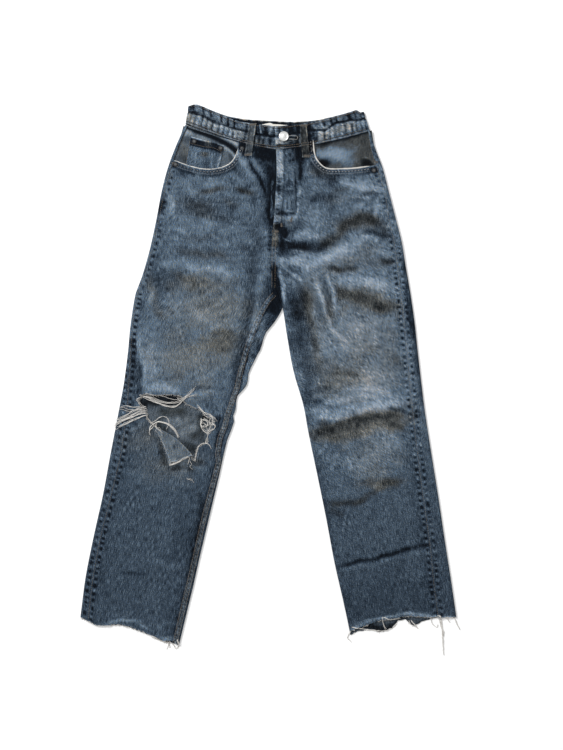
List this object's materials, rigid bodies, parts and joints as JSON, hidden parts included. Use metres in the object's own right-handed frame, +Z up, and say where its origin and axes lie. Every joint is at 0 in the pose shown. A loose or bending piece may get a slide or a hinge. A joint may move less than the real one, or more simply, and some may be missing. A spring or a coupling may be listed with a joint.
{
  "type": "ripped jeans",
  "caption": "High-rise straight-leg blue jeans laid flat, with a rip across one knee, a torn flap hanging from it and raw frayed hems.",
  "frame": {"origin": "centre of the bounding box in plan, on the surface that the jeans lie on", "axes": "+Y runs along the jeans from the hems to the waist, +X to the wearer's left, +Z up out of the front"},
  "size_m": [0.7239, 1.0422, 0.013],
  "materials": {
    "worn_denim": "washed blue denim, faded at the thighs and knees",
    "dark_denim": "darker washed denim",
    "pale_denim": "pale worn denim",
    "label_cotton": "plain white cotton tape",
    "rivet_metal": "aged dark copper",
    "button_metal": "white metal, lightly dished"
  },
  "bodies": {
    "root": {"front_right": "worn_denim", "front_left": "worn_denim", "waistband": "worn_denim", "back_right": "dark_denim", "back_left": "dark_denim", "yoke_right": "dark_denim", "yoke_left": "dark_denim", "loop_front_right": "dark_denim", "loop_front_left": "dark_denim", "loop_back_right": "dark_denim", "loop_back_left": "dark_denim", "loop_back_centre": "dark_denim", "back_pocket_right": "dark_denim", "back_pocket_left": "dark_denim", "fly_shield": "dark_denim", "facing_right": "pale_denim", "facing_left": "pale_denim", "coin_pocket": "pale_denim", "knee_flap": "pale_denim", "waist_label": "label_cotton", "rivet_coin_inner": "rivet_metal", "rivet_coin_outer": "rivet_metal", "rivet_left_side": "rivet_metal", "rivet_left_waist": "rivet_metal", "rivet_right_side": "rivet_metal", "rivet_right_waist": "rivet_metal", "button": "button_metal"}
  },
  "joints": []
}
